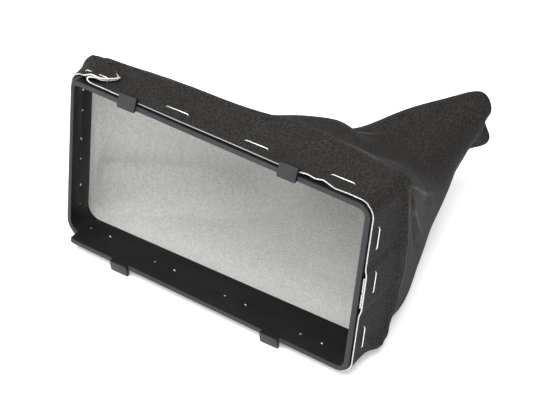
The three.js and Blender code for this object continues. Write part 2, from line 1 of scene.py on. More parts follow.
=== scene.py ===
"""Handbrake boot: a moulded hoop with four snap hooks and a stapled, knit-backed leatherette gaiter.

Lengths held by the classes are millimetres in the gaiter's own axes: X along the hoop, Y from its
open front into the gaiter, Z across its short side, with the hoop's back edge at Y = 0 and its
middle at X = Z = 0. Seat turns them into metres in the frame.
"""

import logging
import math
from collections.abc import Callable
from dataclasses import astuple, dataclass, field
from enum import Enum

import bmesh
import bpy
import numpy as np
from mathutils import Matrix, Vector


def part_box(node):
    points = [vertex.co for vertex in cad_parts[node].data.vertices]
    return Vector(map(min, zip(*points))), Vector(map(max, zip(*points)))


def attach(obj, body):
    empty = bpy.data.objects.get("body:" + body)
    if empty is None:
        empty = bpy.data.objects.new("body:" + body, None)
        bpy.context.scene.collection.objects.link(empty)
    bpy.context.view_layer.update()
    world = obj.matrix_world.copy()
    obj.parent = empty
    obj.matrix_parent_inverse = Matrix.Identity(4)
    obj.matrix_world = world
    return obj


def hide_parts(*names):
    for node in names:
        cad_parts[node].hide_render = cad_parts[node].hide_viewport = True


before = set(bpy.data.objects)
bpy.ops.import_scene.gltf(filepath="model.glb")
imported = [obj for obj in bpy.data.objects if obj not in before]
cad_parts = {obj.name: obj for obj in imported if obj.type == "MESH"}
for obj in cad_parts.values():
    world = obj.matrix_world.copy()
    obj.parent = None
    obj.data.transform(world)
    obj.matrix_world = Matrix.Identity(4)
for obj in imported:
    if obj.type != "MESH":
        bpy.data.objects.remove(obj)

LOG = logging.getLogger("handbrake_boot")
METRE = 0.001

Array = np.ndarray
Material = bpy.types.Material
Piece = bpy.types.Object
Socket = bpy.types.NodeSocket
Pair = tuple[float, float]
Triple = tuple[float, float, float]

# Driving sizes in millimetres: the hoop, how far its hooks' ends lie from its middle, and the gap
# between pieces that touch
HOOP_LENGTH = 180.0
HOOP_HEIGHT = 101.5
HOOK_END = 55.25
SEAT_GAP = 0.3


class Slot(Enum):
    """Material slots of the record."""

    PLASTIC = "moulded_plastic"
    LEATHERETTE = "leatherette"
    WIRE = "staple_wire"


class Layer(Enum):
    """Faces of the cut sheet, by their place in its material list."""

    OUTER = 0
    KNIT = 1
    CUT = 2


def smooth_step(value: Array, start: float, end: float) -> Array:
    """A soft ramp that leaves 0 at start and reaches 1 at end."""
    share = np.clip((np.asarray(value, float) - start) / (end - start), 0, 1)
    return share * share * (3 - 2 * share)


def through(table: Array, place: Array) -> Array:
    """A smooth curve through the rows of a table.

    Args:
        table: Values to pass through, one row each.
        place: Where to read the curve, in rows.

    Returns:
        The values there, one row for each place.
    """
    place = np.atleast_1d(np.asarray(place, float))
    last = len(table) - 1
    first = np.clip(np.floor(place).astype(int), 0, last - 1)
    share = (place - first).reshape((-1,) + (1,) * (table.ndim - 1))
    before, start = table[np.maximum(first - 1, 0)], table[first]
    end, after = table[first + 1], table[np.minimum(first + 2, last)]
    return 0.5 * (2 * start + (end - before) * share
                  + (2 * before - 5 * start + 4 * end - after) * share ** 2
                  + (3 * start - before - 3 * end + after) * share ** 3)


@dataclass(frozen=True)
class Seat:
    """Where the gaiter's own axes lie in the frame."""

    left: float
    back: float
    floor: float

    @classmethod
    def from_frame(cls) -> "Seat":
        """Reads the place of the hoop's solid."""
        low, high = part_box("frame")
        return cls(left=low[0], back=high[1], floor=low[2])

    def shift(self) -> Array:
        """The frame's place of the gaiter's own origin, in metres."""
        return np.array(
            [self.left + HOOP_LENGTH / 2 * METRE, self.back, self.floor + HOOK_END * METRE])

    def point(self, place: Triple) -> Vector:
        """Turns a place in the gaiter's own axes into metres in the frame."""
        return Vector(self.shift() + np.asarray(place, float) * METRE)


SEAT = Seat.from_frame()


class Nodes:
    """Short calls for building one node material."""

    def __init__(self, name: str) -> None:
        """Starts a material with its shader and output.

        Args:
            name: The material's name.
        """
        self.material = bpy.data.materials.new(name)
        self.material.use_nodes = True
        self.tree = self.material.node_tree
        self.shader = self.tree.nodes["Principled BSDF"]
        self.place = self.add("TexCoord", "Object")

    def fill(self, socket: Socket, value: object) -> None:
        """Links a socket to another node's, or gives it a value of its own.

        Args:
            socket: The socket.
            value: The other socket, or the value.
        """
        if isinstance(value, Socket):
            self.tree.links.new(value, socket)
        else:
            socket.default_value = value

    def feed(self, **values: object) -> None:
        """Fills the shader's own sockets."""
        for key, value in values.items():
            self.fill(self.shader.inputs[key.replace("_", " ")], value)

    def add(self, kind: str, out: str, **values: object) -> Socket:
        """Adds a node.

        Args:
            kind: Blender's node type, without its first word.
            out: The socket that is read.
            values: The node's settings, and what its sockets are filled with.

        Returns:
            The socket that is read.
        """
        node = self.tree.nodes.new(f"ShaderNode{kind}")
        for key, value in values.items():
            if hasattr(node, key):
                setattr(node, key, value)
            else:
                self.fill(node.inputs[key.replace("_", " ")], value)
        return node.outputs[out]

    def noise(self, scale: float, detail: float) -> Socket:
        """A cloudy pattern with so many clouds for each metre, and so many octaves."""
        return self.add("TexNoise", "Fac", Vector=self.place, Scale=scale, Detail=detail)

    def cells(self, scale: float) -> Socket:
        """The distance from the middle of the nearest of so many cells for each metre."""
        return self.add("TexVoronoi", "Distance", Vector=self.place, Scale=scale)

    def carried(self, name: str) -> Socket:
        """Reads a value that the mesh carries."""
        return self.add("Attribute", "Fac", attribute_name=name)

    def span(self, value: Socket, low: float, high: float) -> Socket:
        """Stretches a value from 0 to 1 onto the span from low to high."""
        return self.add("MapRange", "Result", Value=value, To_Min=low, To_Max=high)

    def bump(self, height: Socket, distance: float, strength: float = 1.0, **under: Socket) -> Socket:
        """Raises a relief of a height in metres, on the one that is given as its Normal, if any."""
        return self.add("Bump", "Normal", Height=height, Distance=distance, Strength=strength, **under)

    def ramp(self, value: Socket, stops: dict) -> Socket:
        """Colours a value.

        Args:
            value: What to colour.
            stops: Colour for each of two positions from 0 to 1.

        Returns:
            The colour.
        """
        node = self.tree.nodes.new("ShaderNodeValToRGB")
        for spot, (position, colour) in zip(node.color_ramp.elements, sorted(stops.items())):
            spot.position = position
            spot.color = (*colour, 1)
        self.fill(node.inputs["Fac"], value)
        return node.outputs["Color"]

    def mix(self, share: Socket, first: Socket, second: Triple) -> Socket:
        """Mixes a colour into another one.

        Args:
            share: How much of the second shows.
            first: The colour under it.
            second: The colour that is mixed in.

        Returns:
            The mixed colour.
        """
        node = self.tree.nodes.new("ShaderNodeMix")
        node.data_type = "RGBA"
        colours, result = (6, 7), 2
        self.fill(node.inputs["Factor"], share)
        for place, colour in zip(colours, (first, (*second, 1))):
            self.fill(node.inputs[place], colour)
        return node.outputs[result]


@dataclass(frozen=True)
class LeatherFinish:
    """Black leatherette with a fine pebble grain, with painted shade in the grooves between its pebbles
    and a painted highlight that makes the crests of its folds a little lighter.

    Here and below, a pattern's scale counts its cells for each metre, and reliefs are in metres.
    """

    dark: Triple = (0.0260, 0.0243, 0.0231)
    light: Triple = (0.0345, 0.0326, 0.0311)
    # Painted shade: the darker colour laid in the grooves between the pebbles
    groove_shade: Triple = (0.0150, 0.0140, 0.0134)
    # Painted highlight: the lighter colour laid along the crests of the folds
    crest: Triple = (0.080, 0.077, 0.073)
    pebbles: float = 850.0
    relief: float = 0.00030

    def material(self) -> Material:
        """Builds the finish."""
        n = Nodes("leatherette_grain")
        pebbles = n.cells(self.pebbles)
        # Mask of the painted shade, highest in the grooves between the pebbles
        between = n.ramp(pebbles, {0.25: (0, 0, 0), 0.6: (1, 1, 1)})
        tone = n.ramp(n.noise(60, detail=4), {0.3: self.dark, 0.7: self.light})
        grain = n.bump(pebbles, -self.relief)
        creases = n.bump(n.noise(420, detail=5), self.relief * 1.4, 0.8, Normal=grain)
        # The base colour takes the painted shade in the grooves and the painted highlight along the
        # fold crests
        n.feed(Base_Color=n.mix(n.carried("crest"), n.mix(between, tone, self.groove_shade), self.crest),
               Normal=n.bump(n.noise(2600, detail=2), self.relief * 0.3, 0.6, Normal=creases),
               Roughness=n.span(n.noise(300, detail=3), 0.60, 0.78), Specular_IOR_Level=0.06)
        return n.material


@dataclass(frozen=True)
class KnitFinish:
    """The off-white brushed knit on the back of the leatherette."""

    low: Triple = (0.48, 0.48, 0.465)
    high: Triple = (0.61, 0.61, 0.595)

    def material(self) -> Material:
        """Builds the finish."""
        n = Nodes("knit_back")
        loops = n.bump(n.cells(1500), 0.00022, 0.8)
        n.feed(Base_Color=n.ramp(n.noise(700, detail=6), {0.35: self.low, 0.65: self.high}),
               Normal=n.bump(n.noise(900, detail=6), 0.0003, 0.8, Normal=loops),
               Roughness=0.95, Specular_IOR_Level=0.12, Sheen_Weight=0.25, Sheen_Roughness=0.6)
        return n.material


@dataclass(frozen=True)
class CutFinish:
    """The bright foam and knit that show where the sheet was cut, painted darker between the upper
    hooks as painted shade.
    """

    low: Triple = (0.42, 0.41, 0.39)
    high: Triple = (0.62, 0.61, 0.585)
    # Painted shade: the darker copy of the cut edge's colour between the upper hooks
    rolled: Triple = (0.30, 0.295, 0.285)

    def material(self) -> Material:
        """Builds the finish."""
        n = Nodes("cut_edge_foam")
        tone = n.ramp(n.noise(900, detail=5), {0.35: self.low, 0.7: self.high})
        # The marked stretch of cut edge takes the painted shade
        n.feed(Base_Color=n.mix(n.carried("rolled"), tone, self.rolled),
               Normal=n.bump(n.noise(2200, detail=4), 0.00015), Roughness=0.9,
               Specular_IOR_Level=0.2)
        return n.material


@dataclass(frozen=True)
class PlasticFinish:
    """Black moulded plastic with a fine spark-eroded face, and a painted sheen that makes the faces
    looking forward paler.
    """

    low: Triple = (0.0045, 0.0045, 0.0047)
    high: Triple = (0.0075, 0.0075, 0.0078)
    # Painted sheen: the paler colour of the faces that look forward
    rim: Triple = (0.024, 0.026, 0.028)

    def material(self) -> Material:
        """Builds the finish."""
        n = Nodes("moulded_plastic_satin")
        tone = n.ramp(n.noise(45, detail=3), {0.3: self.low, 0.7: self.high})
        # The faces that look forward take the painted sheen
        n.feed(Base_Color=n.mix(n.carried("rim"), tone, self.rim),
               Roughness=n.span(n.noise(160, detail=4), 0.38, 0.54),
               Normal=n.bump(n.noise(3200, detail=3), 0.00004, 0.7), Specular_IOR_Level=0.15)
        return n.material


@dataclass(frozen=True)
class WireFinish:
    """Bright galvanised staple wire."""

    low: Triple = (0.52, 0.52, 0.52)
    high: Triple = (0.78, 0.78, 0.77)

    def material(self) -> Material:
        """Builds the finish."""
        n = Nodes("galvanised_wire")
        n.feed(Base_Color=n.ramp(n.noise(1200, detail=3), {0.35: self.low, 0.65: self.high}),
               Roughness=n.span(n.noise(900, detail=2), 0.25, 0.42), Metallic=1.0)
        return n.material


def to_object(bm: bmesh.types.BMesh, name: str, materials: list[Material]) -> Piece:
    """Makes a piece from a finished mesh in metres.

    Args:
        bm: The mesh, which is freed.
        name: The piece's name.
        materials: Its materials.

    Returns:
        The piece, linked to the scene.
    """
    mesh = bpy.data.meshes.new(name)
    bm.to_mesh(mesh)
    bm.free()
    for material in materials:
        mesh.materials.append(material)
    piece = bpy.data.objects.new(name, mesh)
    bpy.context.scene.collection.objects.link(piece)
    return piece


def settle(piece: Piece, sharp_angle: float) -> None:
    """Takes the modifiers into the mesh and keeps its hard edges hard.

    Args:
        piece: The piece.
        sharp_angle: Edges that turn more than this stay sharp, in degrees.
    """
    ready = piece.evaluated_get(bpy.context.evaluated_depsgraph_get())
    mesh = bpy.data.meshes.new_from_object(ready)
    piece.modifiers.clear()
    piece.data = mesh
    mesh.polygons.foreach_set("use_smooth", [True] * len(mesh.polygons))
    mesh.set_sharp_from_angle(angle=math.radians(sharp_angle))


@dataclass(frozen=True)
class Section:
    """One cross-section of the gaiter behind the hoop.

    Its width and height go from the sleeve's at 0 to the hoop's at 1. Its right side stands right of
    the hoop's, it rises over the resting plane, and its upper left corner leans down.
    """

    back: float
    wide: float
    tall: float
    right: float
    rise: float
    corner: float
    lean: float


@dataclass(frozen=True)
class Fold:
    """A crease in the sheet, raised where height is positive and sunk where it is negative; a raised
    one gets a painted highlight along its top.
    """

    path: tuple[Triple, ...]
    height: float
    width: float
    ends: Pair = (0.25, 0.25)
    crease: float = 0.5

    def lift(self, points: Array) -> Array:
        """How far the fold lifts each point off the sheet.

        Args:
            points: Places on the sheet, with the coordinates last.

        Returns:
            The lift at each point.
        """
        path = np.array(self.path)
        steps = np.linalg.norm(np.diff(path, axis=0), axis=1)
        starts = np.concatenate([[0], np.cumsum(steps)])
        nearest = np.full(points.shape[:-1], np.inf)
        along = np.zeros(points.shape[:-1])
        for start, end, length, offset in zip(path[:-1], path[1:], steps, starts):
            direction = (end - start) / length
            reach = np.clip((points - start) @ direction, 0, length)
            distance = np.linalg.norm(points - start - reach[..., None] * direction, axis=-1)
            closer = distance < nearest
            nearest = np.where(closer, distance, nearest)
            along = np.where(closer, (offset + reach) / starts[-1], along)
        outset, (begin, finish) = -0.01, self.ends
        taper = smooth_step(along, outset, begin) * smooth_step(1 - along, outset, finish)
        softened = np.sqrt(nearest ** 2 + self.crease ** 2) - self.crease
        return self.height * taper * np.exp(-softened / self.width)


@dataclass(frozen=True)
class Bulge:
    """A soft swelling of the sheet, or a hollow where height is negative."""

    centre: Triple
    reach: Triple
    height: float

    def lift(self, points: Array) -> Array:
        """How far the bulge lifts each point, whose coordinates come last."""
        offset = (points - np.array(self.centre)) / np.array(self.reach)
        return self.height * np.exp(-np.sum(offset ** 2, axis=-1))


SECTIONS = (
    Section(3, 1.009, 1.009, 2.6, 2.3, 10, 0),
    Section(7, 1.021, 1.015, 4.4, 1.5, 10, 0),
    Section(11, 1.014, 0.99, 4.6, 0.7, 11, 1),
    Section(20, 0.974, 0.944, 3.0, 0, 13, 4),
    Section(40, 0.789, 0.764, -1.4, 0, 18, 10),
    Section(64, 0.565, 0.486, -6.8, 3.7, 22, 9),
    Section(88, 0.36, 0.226, -11.8, 11.6, 22, 3),
    Section(112, 0.213, 0.106, -14.8, 20, 19, 1),
    Section(134, 0.106, 0.054, -15.4, 25.2, 17, 0),
    Section(152, 0.033, 0.029, -14.8, 28.2, 15, 0),
    Section(160, 0, 0, -15, 29.7, 13, 0),
)

FOLDS = (
    Fold(((-72.7, 4, 52.2), (-29, 7, 52), (3.5, 8, 52), (32, 8, 52), (69, 7, 51.5), (88.9, 4, 50.5)),
         1.1, 1.0, (0.1, 0.03)),
    Fold(((-10, 13, 50), (20, 14, 53), (45, 14, 55), (70, 12, 53)), -1.2, 3.0, (0.3, 0.3)),
    Fold(((92.5, 4.8, 46.5), (94, 5.2, 38.3), (94.6, 8.5, 18.3), (94.6, 11, -2.6), (94.7, 10, -16),
          (94.7, 8.7, -38)), 1.0, 0.7, (0.03, 0.2)),
    Fold(((92.7, 4.8, 46), (94.4, 8, 39), (94.3, 13.2, 28.9), (91, 29, 9.7), (85.9, 51.7, -17)),
         1.4, 0.8, (0.03, 0.3)),
    Fold(((92.1, 4.8, 47), (94.2, 7.6, 44), (92.9, 20, 34), (80.6, 68, 1.5), (78, 88, -11.7)),
         1.4, 1.0, (0.03, 0.35)),
    Fold(((94.4, 10.5, 36), (94, 18, 20), (90.2, 32.6, -6), (88.6, 40, -12.9), (86, 51.7, -18.2)),
         -2.0, 2.2, (0.3, 0.25)),
    Fold(((92, 28, 24), (86, 48, 10), (81, 68, -4)), -1.6, 6.0, (0.3, 0.3)),
    Fold(((37.6, 16, 46.5), (30, 40, 32), (19.6, 84, 5.9), (32.5, 96, 5.5), (44, 106, 6)), 1.2, 2.2,
         (0.2, 0.2)),
    Fold(((56, 18, 44), (52, 40, 30), (46, 64, 18), (46, 84, 9)), -2.0, 5.0, (0.2, 0.3)),
    Fold(((91.5, -15, -0.7), (92.5, -2, -6.5), (94.7, 6.8, -9.5)), -0.9, 0.7, (0.2, 0.1)),
    Fold(((-91.6, 8, -22.5), (-87, 18, -26.5), (-63, 39, -30), (-26, 69, -33), (0, 90, -34)), 7.0, 11.0,
         (0.12, 0.3)),
)

BULGES = (
    Bulge((24, 66, 20), (19, 21, 20), 12.0),
    Bulge((8, 48, 26), (18, 18, 20), 6.0),
    Bulge((30, 5, 52), (24, 12, 20), 3.2),
    Bulge((58, 5, 52), (18, 9, 20), 1.3),
    Bulge((20, 101, 0), (16, 19, 16), -3.6),
    Bulge((94, 15, -48), (12, 11, 12), -4.4),
    Bulge((94, 1, -49), (8, 7, 7.5), 4.6),
    Bulge((-84, 13, 50), (26, 9, 14), -2.0),
    Bulge((73, 147, -22), (11, 11, 13), -9.0),
    Bulge((74, 126, -18), (11, 14, 13), -3.0),
    Bulge((72, 161, -16), (9, 5, 8), 1.6),
    Bulge((66, 161, 14), (7, 8, 8), 4.4),
    Bulge((76, 160, -4), (8, 9, 7), -5.0),
)


@dataclass
class Sheet:
    """The gaiter's outer face: the band on the hoop, the part behind it and the turned hem."""

    skin: float = 1.3
    band_swell: float = 0.8
    depth_left: float = 22.6
    depth_right: float = 28.9
    end_depth: float = 16.5
    setback: float = 1.5
    step: float = 7.0
    left_corner: float = 10.0
    right_corner: float = 7.0
    sleeve_width: float = 27.0
    sleeve_height: float = 35.5
    hem_fold: float = 1.5
    hem_depth: float = 10.0
    long_columns: int = 18
    short_columns: int = 10
    corner_columns: int = 4
    sections: Array = field(
        default_factory=lambda: np.array([astuple(section) for section in SECTIONS]))

    def columns(self) -> int:
        """How many columns go round the sheet."""
        return 2 * (self.long_columns + self.short_columns) + 4 * self.corner_columns

    def corners(self) -> list[tuple[int, int]]:
        """The columns of the upper left, upper right, lower right and lower left corner.

        Returns:
            Each corner's first column and the one after its last.
        """
        turn = self.corner_columns
        first = np.cumsum([self.short_columns // 2, turn + self.long_columns,
                           turn + self.short_columns, turn + self.long_columns])
        return [(int(start), int(start) + turn) for start in first]

    def edge(self, x: Array) -> Array:
        """Where the sheet's cut edge lies along Y.

        Args:
            x: Place along the hoop.

        Returns:
            The edge's place there.
        """
        slope = smooth_step(x, -HOOP_LENGTH / 2, -HOOP_LENGTH / 2 + 2 * self.step)
        share = x / HOOP_LENGTH + 0.5
        rim = -(self.depth_left + (self.depth_right - self.depth_left) * share)
        return self.setback - self.end_depth * (1 - slope) + rim * slope

    def ring(self, low: Pair, high: Pair, radii: Pair, column: Array) -> Array:
        """A rounded outline that starts at the middle of the left side and goes over the top.

        Args:
            low: Left and lower side.
            high: Right and upper side.
            radii: Corner radii on the left and on the right.
            column: Places round the outline, in columns.

        Returns:
            X and Z at each place.
        """
        x0, z0 = low
        x1, z1 = high
        limit = min(x1 - x0, z1 - z0) / 2
        left, right = min(radii[0], limit), min(radii[1], limit)
        middle, half = (z0 + z1) / 2, self.short_columns / 2
        long, corner = self.long_columns, self.corner_columns
        spans = (
            (half, (x0, middle), (x0, z1 - left), 0, 0),
            (corner, (x0 + left, z1 - left), None, left, 2),
            (long, (x0 + left, z1), (x1 - right, z1), 0, 0),
            (corner, (x1 - right, z1 - right), None, right, 1),
            (2 * half, (x1, z1 - right), (x1, z0 + right), 0, 0),
            (corner, (x1 - right, z0 + right), None, right, 0),
            (long, (x1 - right, z0), (x0 + left, z0), 0, 0),
            (corner, (x0 + left, z0 + left), None, left, -1),
            (half, (x0, z0 + left), (x0, middle), 0, 0),
        )
        place = np.mod(np.asarray(column, float), self.columns())
        points = np.zeros((len(place), 2))
        start = 0.0
        for size, first, last, radius, turns in spans:
            share = (place - start) / size
            here = (share >= 0) & (share < 1)
            if last is None:
                angle = (turns - share) * math.pi / 2
                made = np.array(first) + radius * np.column_stack([np.cos(angle), np.sin(angle)])
            else:
                made = np.array(first) + share[:, None] * (np.array(last) - np.array(first))
            points[here] = made[here]
            start += size
        return points

    def band(self, share: float, column: Array) -> Array:
        """A row of the band, from the cut edge at 0 to its back edge at 1.

        Args:
            share: Where the row lies.
            column: Places round it.

        Returns:
            The row's points.
        """
        swell = self.band_swell * float(smooth_step(share, 1 / 3, 1))
        half_x = HOOP_LENGTH / 2 + self.skin
        half_z = HOOP_HEIGHT / 2 + self.skin
        flat = self.ring((-half_x - swell / 3, -half_z - swell / 2), (half_x + swell, half_z),
                         (self.left_corner + self.skin, self.right_corner + self.skin), column)
        edge = self.edge(flat[:, 0])
        return np.column_stack(
            [flat[:, 0], edge + (self.sections[0][0] - edge) * share, flat[:, 1]])

    def cone(self, place: float, column: Array, inset: float = 0, push: float = 0) -> Array:
        """A row behind the hoop.

        Args:
            place: Where it lies between the sections.
            column: Places round it.
            inset: How far it is drawn in.
            push: How far it is pushed back.

        Returns:
            The row's points.
        """
        back, wide, tall, right, rise, corner, lean = through(self.sections, place)[0]
        width = self.sleeve_width + (HOOP_LENGTH + 2 * self.skin - self.sleeve_width) * wide
        height = self.sleeve_height + (HOOP_HEIGHT + 2 * self.skin - self.sleeve_height) * tall
        x1 = HOOP_LENGTH / 2 + right
        x0 = x1 - width
        z0 = max(rise, 0) - HOOK_END
        radius = corner - inset
        flat = self.ring((x0 + inset, z0 + inset), (x1 - inset, z0 + height - inset),
                         (radius, radius), column)
        drop = lean * (x1 - flat[:, 0]) / width * (flat[:, 1] - z0) / height
        return np.column_stack([flat[:, 0], np.full(len(flat), back + push), flat[:, 1] - drop])


@dataclass
class Pleat:
    """The spare leatherette at the hoop's upper left corner, laid in a Z-fold and stapled down.

    Each row of the net runs from the left side over the ear, round the tight fold, back under it
    and round the open loop on to the top of the hoop: X, Y, and height over the hoop's wall.
    """

    first_column: float = 4.0
    last_column: float = 11.43
    tight_fold: float = 8.0
    shares: tuple[float, ...] = (0.0, 0.17, 0.45, 0.75, 1.0)
    net: tuple[tuple[Triple, ...], ...] = (
        ((-91.4, -15, -18.2), (-91.4, -15, -10), (-89.6, -16, -3.2), (-84.2, -18.4, 1.5),
         (-79.4, -20.6, 3.6), (-74.4, -21.2, 6.2), (-69.6, -20, 5.4), (-65.4, -16, 4.8),
         (-62.8, -12, 4.4), (-64.6, -14.2, 2.7), (-69.2, -18.6, 2.9), (-73.2, -20.6, 4),
         (-76.2, -21.5, 3.2), (-75.2, -21.6, 1.7), (-71.5, -21.6, 1.3), (-66, -21.7, 1.3),
         (-58, -22, 1.3)),
        ((-91.4, -12.4, -18.2), (-91.5, -12.4, -9.6), (-89.6, -12.6, -3), (-84.8, -14.6, 1.6),
         (-80.3, -17, 3.5), (-74.6, -17.6, 5.2), (-70.6, -16.6, 4), (-67, -13.8, 3.9),
         (-64.8, -10.6, 3.6), (-66.8, -12.6, 2.6), (-71, -15.6, 2.5), (-75, -17.4, 2.6),
         (-77.6, -18.2, 2.1), (-76.4, -18.3, 1.5), (-72, -18.3, 1.3), (-66, -18.4, 1.3),
         (-58, -18.6, 1.3)),
        ((-91.5, -7.8, -18.2), (-91.8, -7.8, -9), (-89.9, -7.4, -2), (-85.9, -8.3, 2.3),
         (-83, -9.4, 4.4), (-78.6, -9.7, 4.9), (-74.6, -9.2, 4.9), (-71.4, -8, 4.6),
         (-69.6, -7, 3.7), (-71.4, -8, 2.6), (-74.4, -9.6, 2.5), (-77, -10.8, 2.5),
         (-78.8, -11.4, 2), (-77.4, -11.5, 1.5), (-73, -11.6, 1.3), (-67, -11.7, 1.3),
         (-58, -11.9, 1.3)),
        ((-91.7, -3.2, -18.2), (-92, -3.2, -9), (-91.2, -3.2, -1.5), (-87.9, -3.4, 3.4),
         (-85.4, -3.6, 4.8), (-82.6, -3.7, 4.5), (-80, -3.7, 4.3), (-78, -3.7, 3.8),
         (-76.9, -3.7, 3.2), (-77.2, -3.8, 2.6), (-77.8, -4, 2.2), (-78.2, -4.2, 2),
         (-78.2, -4.4, 1.8), (-77, -4.5, 1.5), (-73, -4.6, 1.3), (-67, -4.7, 1.3),
         (-58, -5, 1.3)),
    )
    base: tuple[float, ...] = (4, 5, 6.2, 7.4, 8.2, 8.8, 9.1, 9.25, 9.35, 9.42, 9.5, 9.6, 9.7,
                               9.85, 10.2, 10.8, 11.43)

    def spans(self) -> int:
        """How many spans a row of the net has."""
        return len(self.base) - 1

    def column(self, place: Array, behind: float) -> Array:
        """Where the pleat's columns lie on the plain sheet.

        Args:
            place: Places along the net's rows.
            behind: 0 at the hoop's back edge, 1 where the columns are evenly spread again.

        Returns:
            The plain sheet's columns.
        """
        gathered = np.interp(place, range(len(self.base)), self.base)
        even = self.first_column + (self.last_column - self.first_column) * place / self.spans()
        return gathered + (even - gathered) * behind

    def row(self, sheet: Sheet, share: float, place: Array) -> Array:
        """One row of folded points on the band.

        Args:
            sheet: The sheet that is folded.
            share: Where the row lies, from the cut edge at 0 to the hoop's back edge at 1.
            place: Places along the net's rows.

        Returns:
            The row's points.
        """
        plain = sheet.band(share, self.column(place, 0))
        closing = sheet.band(1, self.column(np.arange(self.spans() + 1), 0))
        net = np.array([*self.net, closing - np.array([0, 0, HOOP_HEIGHT / 2])])
        across = through(net, np.interp(share, self.shares, range(len(self.shares))))[0]
        folded = through(across, place) + np.array([0, 0, HOOP_HEIGHT / 2])
        keep = smooth_step(place, 0, 1) * smooth_step(self.spans() - place, 0, 1.5)
        return plain + (folded - plain) * keep[:, None]


